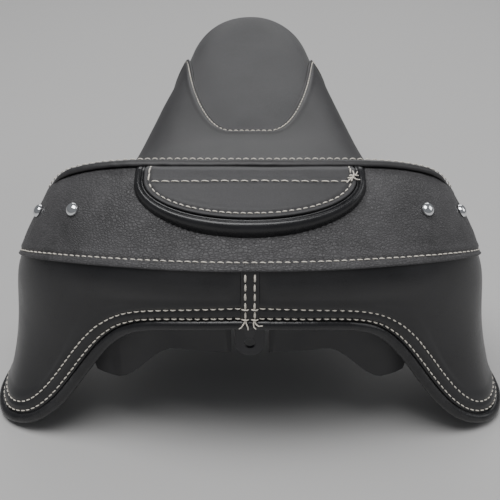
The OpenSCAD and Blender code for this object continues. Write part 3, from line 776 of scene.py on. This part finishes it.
def ridge_roll():
    """The rolled lip of the seat cover that overhangs the band along the ridge."""
    us = np.linspace(-57, 57, 620)
    profile = np.array([
        (-0.8, -0.6), (-2.4, 0.5), (-4.0, 0.9), (-4.9, 1.6), (-5.0, 2.6), (-4.3, 3.6), (-3.0, 4.3), (-1.2, 4.6),
        (0.6, 4.45), (2.2, 3.8), (3.6, 2.8), (4.8, 1.6), (5.6, 0.6), (6.2, -0.3), (6.8, -0.9),
    ])
    s, h = soft_profile(profile, 44)
    uu, ss = np.meshgrid(us, s)
    hh = np.broadcast_to(h[:, None], uu.shape)
    fade = ridge_fade(uu)
    v = beyond_ridge(ss)
    base, out = skin(CUSHION, uu, v), normal(CUSHION, uu, v)
    ripple = 0.12 * smooth_noise(base, 14, 3) + 0.2 * smooth_noise(base, 70, 4)
    hh = (hh + ripple * (hh > 0)) * fade - 1.4 * (1 - fade)
    row = ridge_line.pucker(base + out * hh[..., None], RIDGE_PITCH, 0.5, 1.2, 0.2)
    top = base + out * (hh + row * fade)[..., None]
    return make("ridge_roll", top, grid_faces(*top.shape[:2]), LIT_SMOOTH, node="ridge_welt", slot="smooth_leather")


def rear_band():
    us = np.linspace(-90, 90, 601)
    vs = add_rows(np.linspace(0, 1.0, 120), np.linspace(0, 0.12, 34), [0.5, 0.69])
    uu, vv = np.meshgrid(us, vs)
    base, out = skin(CUSHION, uu, vv), normal(CUSHION, uu, vv)
    h = band_line.pucker(base, BAND_PITCH, 0.6, 1.6, 0.45)
    h = h + 0.7 * gauss(vv * BAND_LEN, 4.5)
    # Short creases where the band is gathered under the pocket's round corners
    x, s = moon_outline(-(1.2 + 10.0))
    rim = band_line_at(x, s, 0.0)
    d, run = rim.near(base, 20)
    corner = gauss(np.abs(run / rim.length - 0.5) - 0.20, 0.085)
    gather = 0.5 + 0.5 * np.sin(run * 2 * math.pi / 4.6 + 2.2 * smooth_noise(base, 25, 5))
    h = h + (0.9 * gather - 0.45) * corner * gauss(d, 5.0)
    h = h + 0.35 * smooth_noise(base, 55, 6) + 0.10 * smooth_noise(base, 9, 7)
    for u0, v0 in STUDS:
        q = skin(CUSHION, u0, v0)
        h = h - 0.9 * gauss(np.linalg.norm(base - q, axis=-1), 7.5)
    top = base + out * h[..., None]
    # The folded lower edge, then back up behind it
    e, eo = top[0], out[0]
    down = unit(top[0] - top[3])
    fold = [e - eo * 1.15 + (down * math.sin(t) + eo * math.cos(t)) * 1.15 for t in np.linspace(math.pi, 0.2, 9)]
    back = e - eo * 2.3 - down * 5
    grid = np.concatenate([np.stack([back] + fold), top], 0)
    extra = len(fold) + 1
    mid_v = (vs[:-1] + vs[1:]) / 2
    mid_u = (us[:-1] + us[1:]) / 2

    def keep(i, j):
        r = np.clip(i - extra, 0, len(mid_v) - 1)
        hole = (i >= extra) & (mid_v[r] > 0.5) & (mid_v[r] < 0.69) & (np.abs(mid_u[j]) < 16)
        return ~hole

    return make("rear_band", grid, grid_faces(*grid.shape[:2], keep=keep), LIT_GRAIN,
                node="rear_band", slot="grained_leather")


STUDS = [(-54.4, 0.57), (-41.1, 0.505), (41.1, 0.505), (54.4, 0.57)]


def lathe(profile, origin, axis, seg=48):
    """Verts and faces of a profile [(radius, height)] turned round an axis."""
    axis = unit(np.asarray(axis, float))
    side = unit(np.cross(axis, [0.3, 1, 0.1]))
    up = np.cross(axis, side)
    t = np.linspace(0, 2 * math.pi, seg, endpoint=False)
    rings = np.stack([
        origin + axis * h + r * (np.cos(t)[:, None] * side + np.sin(t)[:, None] * up) for r, h in profile
    ])
    return rings.reshape(-1, 3), grid_faces(len(profile), seg, closed=True)


def studs():
    parts = []
    for u, v in STUDS:
        r, rise = 5.25, 3.5
        turns = np.linspace(0, math.pi / 2, 16)
        dome = [(max(0.02, r * math.sin(a)), 0.25 + rise * math.cos(a)) for a in turns]
        rim = [(5.35, 0.05), (5.2, -0.3), (4.4, -0.5), (1.0, -0.6), (0.9, -6.2), (0.02, -6.3)]
        parts.append(lathe((dome + rim)[::-1], point(CUSHION, u, v), normal(CUSHION, u, v)))
    v, f = join(parts)
    make("chrome_studs", v, f, CHROME, node="chrome_studs", slot="chrome")


# ---------------------------------------------------------------- pocket and flap


def pocket_roll():
    """Padded roll round the flap, fuller along the bottom; the thin lip inside it is a piece of its own."""
    a = np.linspace(180, 0, 260)
    fat = np.sin(np.radians(a)) ** 3
    hw, low = FLAP_W + 1.2 + 3.5, FLAP_LOW + 1.2 + 5.5
    x, s = moon_point(a, hw, low)
    side = np.linspace(2.0, MOON_FLAT, 26)[:-1]
    x = np.concatenate([np.full(25, -hw), x, np.full(25, hw)])
    s = np.concatenate([side, s, side[::-1]])
    fat = np.concatenate([np.zeros(25), fat, np.zeros(25)])
    half = 3.5 + 2.0 * fat
    rise = (6.0 + 2.5 * fat) * (0.12 + 0.88 * ease(s, 2.0, 14.0))
    u, v = band_uv(x, s)
    p, out = skin(CUSHION, u, v), normal(CUSHION, u, v)
    along = unit(np.gradient(p, axis=0))
    side_dir = unit(np.cross(out, along))
    # Across the roll from its outer foot, over the crown near the inner edge, down the inner wall
    prof = np.array([
        (-1.12, -0.10), (-1.0, 0.12), (-0.86, 0.38), (-0.66, 0.62), (-0.40, 0.82), (-0.10, 0.95),
        (0.22, 1.0), (0.50, 0.95), (0.74, 0.80), (0.90, 0.58), (0.97, 0.34), (0.95, 0.10), (0.90, -0.1),
    ])
    c, r = soft_profile(prof, 40)
    middle = on_band(np.zeros_like(x), np.full_like(s, 20.0))
    inner = -np.sign(np.einsum("ij,ij->i", side_dir, middle - p))
    verts = p[None] + side_dir[None] * (-c[:, None] * half[None] * inner[None])[..., None]
    verts = verts + out[None] * (r[:, None] * rise[None] + 0.2)[..., None]
    run = np.concatenate([[0], np.cumsum(np.linalg.norm(np.diff(p, axis=0), axis=1))])
    foot = gauss(np.linspace(0, 1, 40)[:, None] - 0.12, 0.14)
    wrinkle = 0.16 * np.sin(run * 2 * math.pi / 5.3 + 2 * smooth_noise(p, 30, 8)) * foot
    verts = verts + out[None] * wrinkle[..., None] + 0.15 * smooth_noise(verts, 40, 9)[..., None] * out[None]
    order = grid_faces(*verts.shape[:2])
    if flip_needed(verts, out):
        order = order[:, ::-1]
    return make("pocket_roll", verts, order, ROLL, node="pocket_roll", slot="smooth_leather")


def flip_needed(grid, out):
    i, j = grid.shape[0] // 2, grid.shape[1] // 2
    nrm = np.cross(grid[i, j + 1] - grid[i, j], grid[i + 1, j] - grid[i, j])
    return np.dot(nrm, out[j]) < 0


def pocket_lip():
    """Thin welt between the roll and the flap."""
    x, s = moon_outline(-1.5)
    u, v = band_uv(x, s)
    p, out = skin(CUSHION, u, v, 3.6 * tucked(s)), normal(CUSHION, u, v)
    verts, faces = sweep(tube_rings(p, out, 1.15, 12))
    return make("pocket_lip", verts, faces, ROLL)


def moon_sheet(name, inset, top_s, h_top, h_low, material, edge_round,
               rows=90, cols=240, detail=None, **kw):
    """A half-moon layer of leather, from top_s down to the flap's outline."""
    half, low = FLAP_W - inset, FLAP_LOW - inset
    a = np.linspace(-90, 90, cols)
    x = half * np.sin(np.radians(a))
    k = add_rows(np.linspace(0, 1, rows), np.linspace(0.93, 1, 12))[::-1]
    xx = np.broadcast_to(x, (len(k), cols))
    ss = top_s + (moon_s(xx, half, low) - top_s) * k[:, None]
    flat = on_band(xx, ss, h_top)
    rim = band_line_at(*moon_outline(inset), h_top)
    d, _ = rim.near(flat)
    arc = 1 - np.sqrt(np.maximum(0, 1 - (1 - d / edge_round) ** 2))
    drop = np.where(d < edge_round, edge_round * arc, 0)
    h = h_top * tucked(ss) - drop * 0.9
    if detail is not None:
        h = h + detail(flat)
    under = h_low * tucked(ss) - 0.9 * (1 - tucked(ss))
    return slab(name, on_band(xx, ss, h), on_band(xx, ss, under), material, **kw)


def flap():
    def detail(p):
        h = flap_stitch_line.pucker(p, FLAP_PITCH, 0.5, 1.2, 0.3)
        h = h + hinge_line.pucker(p, HINGE_PITCH, 0.5, 1.3, 0.3)
        return h + 0.25 * smooth_noise(p, 45, 10)

    top = moon_sheet("flap_leather", 0.0, 3.0, FLAP_TOP, 4.0, LIT_INSERT, 1.1, detail=detail, body=None,
                     node=["flap_yoke", "flap_cover"], slot="nose_leather")
    # Two points at the horizontal seam and below it, which nothing uses; the leather is not bent
    a = metres(on_band(0.0, HINGE_S + 0.6, FLAP_TOP))
    b = metres(on_band(0.0, HINGE_S + 7.0, FLAP_TOP))
    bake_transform(top)
    moon_sheet("flap_lining", 3.5, HINGE_S + 0.9, 3.85, 2.6, FLESH, 0.5, rows=60, cols=160,
               body="flap", node="flap_lining", slot="lining_leather")


def strips():
    """Hook and loop strips that hold the flap down."""
    xs = np.linspace(-30, 30, 220)
    ss = np.linspace(50.0, 45.8, 20)
    xx, ss2 = np.meshgrid(xs, ss)
    nap = rng.uniform(-0.22, 0.22, xx.shape)
    for name, h0, h1, body in (
        ("pocket_loop_strip", 0.4, 1.3, "seat"),
        ("flap_hook_strip", 2.5, 1.8, "flap"),
    ):
        outer = on_band(xx, ss2, h1 + nap)
        inner = on_band(xx, ss2, np.full_like(nap, h0))
        if h1 < h0:
            outer, inner = inner, outer
        slab(name, outer, inner, TAPE, body=body, node=name, slot="hook_tape")


# ---------------------------------------------------------------- skirt


def skirt_panel(name, a0, a1):
    run = np.linspace(a0, a1, int(abs(a1 - a0) / 1.05))
    low = ROLL_D + 0.4
    k = add_rows(np.linspace(0, 1, 46), np.linspace(0.62, 1, 40))[::-1]
    aa = np.broadcast_to(run, (len(k), len(run)))
    top = edge(run)[:, 2] - 0.6
    zz = top + (above_hem(run, low) - top) * k[:, None]
    base, out = on_skirt(aa, zz), skirt_normal(aa, zz)
    h = hem_line_low.pucker(base, HEM_PITCH, 0.5, 1.4, 0.35)
    h = h + hem_line_high.pucker(base, HEM_PITCH, 0.5, 1.4, 0.3)
    h = h + 0.55 * smooth_noise(base, 85, 12) * ease(1 - k, 0, 0.3)[:, None]
    # Padding swells the leather just below the band
    below = np.linalg.norm(base - base[-1], axis=-1)
    h = h + 1.9 * gauss(below - 17, 9) * (1 - ease(np.abs(aa), 90, 150)) * ease(np.abs(aa), 7, 16)
    # The hem's doubled leather stands a little proud, and its edge is rounded into the seam
    d = (zz - above_hem(aa, low)) / np.sqrt(1 + ((hem_z(aa + 1) - hem_z(aa - 1)) / 2) ** 2)
    h = h + 0.5 * (1 - ease(d, 14, 19)) - 1.1 * gauss(d, 1.1)
    outer = base + out * h[..., None]
    return slab(name, outer, base - out * 1.6, SKIRT, node=name, slot="smooth_leather")


def centre_strip():
    rim = np.linspace(STRIP_HALF - 1, STRIP_HALF, 6)
    xs = add_rows(np.linspace(-STRIP_HALF, STRIP_HALF, 30), -rim, rim)
    k = np.linspace(1, 0, 70)
    aa = np.broadcast_to(xs, (len(k), len(xs)))
    top = edge(xs)[:, 2] - 0.8
    zz = top + (above_hem(xs, ROLL_D + 0.2) - top) * k[:, None]
    base, out = on_skirt(aa, zz), skirt_normal(aa, zz)
    d = STRIP_HALF - np.abs(aa)
    h = 1.55 * np.sqrt(np.clip(1 - (1 - np.clip(d / 1.3, 0, 1)) ** 2, 0, 1)) + 0.1
    for x0 in STRIP_ROWS:
        h = h - 0.55 * gauss(aa - x0, 0.9)
    h = h + 0.35 * gauss(np.abs(aa), 1.8) - 0.8 * gauss((zz - above_hem(aa, 8.2)), 1.5)
    return slab("skirt_centre_strip", base + out * h[..., None], base - out * 0.1, SKIRT,
                node="skirt_centre_strip", slot="smooth_leather")


def skirt_lining():
    run = np.linspace(-SKIRT_RUN, SKIRT_RUN, 420)
    k = np.linspace(1, 0, 30)
    aa = np.broadcast_to(run, (len(k), len(run)))
    top = edge(run)[:, 2] - 3.0
    zz = top + (above_hem(run, 4.0) - top) * k[:, None]
    base = on_skirt(aa, zz, 2.2)
    n = skirt_normal(aa, zz)
    wave = 0.5 * smooth_noise(base, 40, 14)
    return slab("skirt_lining", base + n * wave[..., None], base + n * (wave[..., None] - 1.0), LINING,
                node="skirt_lining", slot="lining_cloth")


def skirt_roll():
    """Rolled binding along the hem; its seam sits in the groove above it."""
    r = ROLL_D / 2 + 0.15
    run = np.linspace(-SKIRT_RUN, SKIRT_RUN, 700)
    c = on_skirt(run, above_hem(run, r), 1.4)
    along = unit(np.gradient(c, axis=0))
    out = edge_out(run)
    up = unit(np.cross(along, out))
    out = np.cross(up, along)
    c = c + up * (0.25 * smooth_noise(c, 60, 15))[:, None]
    t = np.linspace(0, 2 * math.pi, 25)[:-1]
    lumps = 1 + 0.02 * smooth_noise(c, 12, 16)
    rx = r * (1 + 0.05 * np.sin(t))
    rings = c[:, None] + (
        out[:, None] * (np.cos(t) * rx)[None, :, None] - up[:, None] * (np.sin(t) * r * 1.02)[None, :, None]
    ) * lumps[:, None, None]
    verts, faces = sweep(rings)
    return make("skirt_edge_roll", verts, faces, ROLL, node="skirt_edge_roll", slot="smooth_leather")


# ---------------------------------------------------------------- under the seat


def cad_copy(node, material, bevel):
    """A CAD node with its edges rounded and its facets smoothed, for the rigid parts."""
    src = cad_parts[node]
    mesh = src.data.copy()
    mesh.materials.clear()
    mesh.materials.append(material)
    obj = bpy.data.objects.new(node + "_shown", mesh)
    bpy.context.scene.collection.objects.link(obj)
    weld = obj.modifiers.new("weld", "WELD")
    weld.merge_threshold = 2e-5
    dg = bpy.context.evaluated_depsgraph_get()
    fixed = bpy.data.meshes.new_from_object(obj.evaluated_get(dg))
    obj.modifiers.clear()
    obj.data = fixed
    fixed.polygons.foreach_set("use_smooth", [True] * len(fixed.polygons))
    fixed.set_sharp_from_angle(angle=math.radians(28))
    if bevel:
        mod = obj.modifiers.new("bevel", "BEVEL")
        mod.width = bevel / 1000
        mod.segments = 2
        mod.limit_method = "ANGLE"
        mod.angle_limit = math.radians(40)
    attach(obj, "seat")
    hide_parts(node)


def foam():
    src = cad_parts["foam_cushion"]
    mesh = src.data.copy()
    obj = bpy.data.objects.new("foam_core", mesh)
    bpy.context.scene.collection.objects.link(obj)
    mesh.materials.clear()
    mesh.materials.append(FOAM)
    mod = obj.modifiers.new("remesh", "REMESH")
    mod.mode = "VOXEL"
    mod.voxel_size = 0.0035
    dg = bpy.context.evaluated_depsgraph_get()
    obj.data = bpy.data.meshes.new_from_object(obj.evaluated_get(dg))
    obj.modifiers.clear()
    # Foam gives way a little under the stretched covers
    mesh = obj.data
    co, no = np.empty(len(mesh.vertices) * 3), np.empty(len(mesh.vertices) * 3)
    mesh.vertices.foreach_get("co", co)
    mesh.vertex_normals.foreach_get("vector", no)
    co, no = co.reshape(-1, 3), no.reshape(-1, 3)
    mesh.vertices.foreach_set("co", (co - no * (0.0022 * (no[:, 2:3] > -0.3))).ravel())
    mesh.polygons.foreach_set("use_smooth", [True] * len(mesh.polygons))
    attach(obj, "seat")
    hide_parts("foam_cushion")


def pull_strip():
    """The gathered edge of the cover where it is stapled under the pan."""
    parts = []
    for sign in (-1, 1):
        v = np.linspace(0.35, 3.95, 700)
        w = np.linspace(0, 1, 18)
        vv, ww = np.meshgrid(v, w)
        u = sign * (88 - 27 * ww - 1.5 * ww * np.sin(vv * 40))
        wave = (0.6 * np.sin(vv * 95) + 0.5 * np.sin(vv * 61 + 1)) * (0.35 + 0.65 * ww)
        parts.append((u, vv, wave))
    un = np.linspace(-60, 60, 300)
    w = np.linspace(0, 1, 18)
    uu, ww = np.meshgrid(un, w)
    wave = (0.6 * np.sin(uu * 0.9) + 0.5 * np.sin(uu * 0.53)) * (0.35 + 0.65 * ww)
    parts.append((uu, 3.98 - 0.22 * ww, wave))
    verts, faces, n = [], [], 0
    for u, v, wave in parts:
        outer = skin(PAN, u, v, -4.5 + 0.5 * wave - 0.6)
        inner = skin(PAN, u, v, -4.5 + 0.5 * wave + 0.6)
        verts.append(np.concatenate([outer.reshape(-1, 3), inner.reshape(-1, 3)]))
        faces.append(n + slab_faces(*u.shape))
        n += 2 * u.size
    return make("pull_strip", np.concatenate(verts), np.concatenate(faces), LIT_SMOOTH,
                node="pull_strip", slot="lining_cloth")


# ---------------------------------------------------------------- build

seat_cover()
nose_cover()
ridge_roll()
rear_band()
studs()
pocket_roll()
pocket_lip()
flap()
strips()
skirt_panel("skirt_panel_left", -SKIRT_RUN, -0.3)
skirt_panel("skirt_panel_right", 0.3, SKIRT_RUN)
centre_strip()
skirt_lining()
skirt_roll()
foam()
pull_strip()

for node, material, slot in (
    ("seat_pan", PLASTIC, "pan_plastic"),
    ("backrest_receiver", BLACK_STEEL, "black_steel"),
    ("receiver_bolts", ZINC, "zinc_steel"),
    ("receiver_nuts", ZINC, "zinc_steel"),
    ("rear_tab", BLACK_STEEL, "black_steel"),
    ("tab_rivets", ZINC, "zinc_steel"),
    ("front_tongue", BLACK_STEEL, "black_steel"),
    ("tongue_rivets", ZINC, "zinc_steel"),
    ("pan_bumpers", RUBBER, "rubber"),
    ("pan_felts", FELT, "felt"),
    ("stud_washers", ZINC, "zinc_steel"),
    ("cover_staples", ZINC, "zinc_steel"),
):
    cad_copy(node, material, bevel=0.0 if node in ("seat_pan", "stud_washers", "pan_felts") else 0.25)

# ---------------------------------------------------------------- stitches

stitch_row("stitches_band", band_line, BAND_PITCH)
stitch_row("stitches_ridge", ridge_line, RIDGE_PITCH, fill=0.8, lift=0.5)
stitch_row("stitches_nose", nose_stitch_line, 5.2, fill=0.84, radius=0.55, lift=1.6, dip=-0.4)
stitch_row("stitches_flap", flap_stitch_line, FLAP_PITCH, body="flap",
           start=24.0, end=flap_stitch_line.length - 24.0)
stitch_row("stitches_hinge", hinge_line, HINGE_PITCH, fill=0.8)
for name, line in (("stitches_hem_low", hem_line_low), ("stitches_hem_high", hem_line_high)):
    stitch_row(name, line, HEM_PITCH, radius=0.52, lift=0.7, dip=0.3)


def strip_line(x):
    """Down the centre strip at x, from under the band to the hem's roll."""
    a = np.full(240, x)
    top, low = edge(x)[2] - 2.5, above_hem(x, 9.6)
    z = np.linspace(top, low, 240)
    out = skirt_normal(a, z)
    return Line(on_skirt(a, z) + out * 1.2, out)


for name, x in zip(("stitches_strip_left", "stitches_strip_right"), STRIP_ROWS):
    stitch_row(name, strip_line(x), 7.8, fill=0.76, radius=0.8, lift=0.5, dip=0.4, slant=0.0)


def yoke_side(sign):
    """The perimeter row above the hinge seam, on the fixed part of the flap."""
    s = np.linspace(5.0, HINGE_S - 1.5, 60)
    return band_line_at(np.full(60, sign * (FLAP_W - FLAP_INSET)), s, FLAP_TOP * tucked(s))


stitch_row("stitches_yoke_left", yoke_side(-1), 6.6, fill=0.97, radius=0.62)
stitch_row("stitches_yoke_right", yoke_side(1), 6.2, fill=0.8, radius=0.55)


def thread_ends(name, ends, body="seat", radius=0.45):
    """Loose ends of thread: each is a short path of surface points with heights."""
    parts = []
    for pts, outs in ends:
        t = np.linspace(0, 1, len(pts))
        fine = np.linspace(0, 1, 18)
        path = np.stack([np.interp(fine, t, pts[:, i]) for i in range(3)], 1)
        path[1:-1] = (path[:-2] + 2 * path[1:-1] + path[2:]) / 4
        parts.append(sweep(tube_rings(path, outs, radius * (1 - 0.35 * fine), 8)))
    v, f = join(parts)
    return make(name, v, f, THREAD, body=body)


def skirt_tail(spots):
    a, d, h = np.array(spots, float).T
    z = above_hem(a, d)
    n = skirt_normal(a, z)
    return on_skirt(a, z) + n * h[:, None], n[0]


thread_ends("thread_ends_strip", [
    skirt_tail([(-3.5, 10.5, 1.6), (-4.6, 7.4, 2.6), (-6.6, 4.6, 3.6), (-8.4, 4.2, 4.6)]),
    skirt_tail([(-3.5, 10.5, 1.6), (-2.9, 7.4, 2.7), (-1.6, 4.8, 3.8), (-1.4, 3.0, 4.4)]),
    skirt_tail([(3.5, 10.5, 1.6), (3.9, 7.6, 2.6), (6.4, 5.6, 3.4), (9.6, 6.4, 3.8)]),
    skirt_tail([(3.5, 10.5, 1.6), (2.6, 7.6, 2.6), (2.9, 5.0, 3.6), (4.6, 3.6, 4.2)]),
] + [
    # Where the hem's rows cross the strip's rows
    skirt_tail([(x - 2.6, d, 1.3), (x - 1.2, d + 0.2, 2.5), (x + 1.2, d, 2.6), (x + 2.7, d + 0.1, 1.3)])
    for x in STRIP_ROWS for d in (ROW_LOW, 19.1)
], radius=0.6)


def band_tail(spots):
    x, s, h = np.array(spots, float).T
    u, v = band_uv(FLAP_W - FLAP_INSET + x, HINGE_S - 4.0 + s)
    return skin(CUSHION, u, v, h), normal(CUSHION, u, v)[0]


# The knot at the right end of the hinge seam
thread_ends("thread_ends_flap", [
    band_tail([(-3.6, 4.4, 5.8), (-0.6, 1.4, 7.2), (2.6, -1.0, 7.0), (4.4, -4.2, 7.4)]),
    band_tail([(-2.6, 0.4, 5.9), (0.8, 1.2, 7.6), (3.4, 2.6, 7.2), (5.6, 3.0, 7.6)]),
    band_tail([(-0.4, 3.4, 6.2), (1.6, -1.6, 7.9), (1.2, -5.4, 7.0)]),
    band_tail([(-1.4, -1.4, 6.4), (2.2, -0.4, 8.2), (4.8, -0.6, 7.4)]),
], radius=0.55)

# ---------------------------------------------------------------- stage

floor_mat = bpy.data.materials.new("floor")
floor_mat.use_nodes = True
floor_mat.node_tree.nodes["Principled BSDF"].inputs["Base Color"].default_value = (0.50, 0.495, 0.49, 1)
floor_mat.node_tree.nodes["Principled BSDF"].inputs["Roughness"].default_value = 0.75
bpy.ops.mesh.primitive_plane_add(size=30, location=(0, 0, cad_lo.z - 0.0006))
floor = bpy.context.object
floor.name = "floor"
floor.data.materials.append(floor_mat)

world = bpy.data.worlds.new("studio")
bpy.context.scene.world = world
world.use_nodes = True
world.node_tree.nodes["Background"].inputs[0].default_value = (0.75, 0.77, 0.80, 1)
world.node_tree.nodes["Background"].inputs[1].default_value = 0.28


def area(name, loc, target, size, power):
    data = bpy.data.lights.new(name, "AREA")
    data.shape = "RECTANGLE"
    data.size, data.size_y = size
    data.energy = power
    obj = bpy.data.objects.new(name, data)
    bpy.context.scene.collection.objects.link(obj)
    obj.location = loc
    obj.rotation_euler = (Vector(target) - Vector(loc)).to_track_quat("-Z", "Y").to_euler()


area("overhead", (-0.25, -0.35, 1.7), (0, 0.1, 0.08), (1.5, 1.0), 34)
area("beyond_nose", (0.1, 1.7, 1.0), (0, 0.2, 0.08), (1.8, 0.8), 11)
area("right_fill", (1.6, 0.1, 0.9), (0, 0.1, 0.0), (0.9, 0.9), 6)

cam_data = bpy.data.cameras.new("camera")
cam = bpy.data.objects.new("camera", cam_data)
bpy.context.scene.collection.objects.link(cam)
cam.location = (0.0, -0.616, 0.434)
cam.rotation_euler = (math.radians(60), 0, 0)
cam_data.sensor_width = 36
cam_data.lens = 1019 / 500 * 36
bpy.context.scene.camera = cam
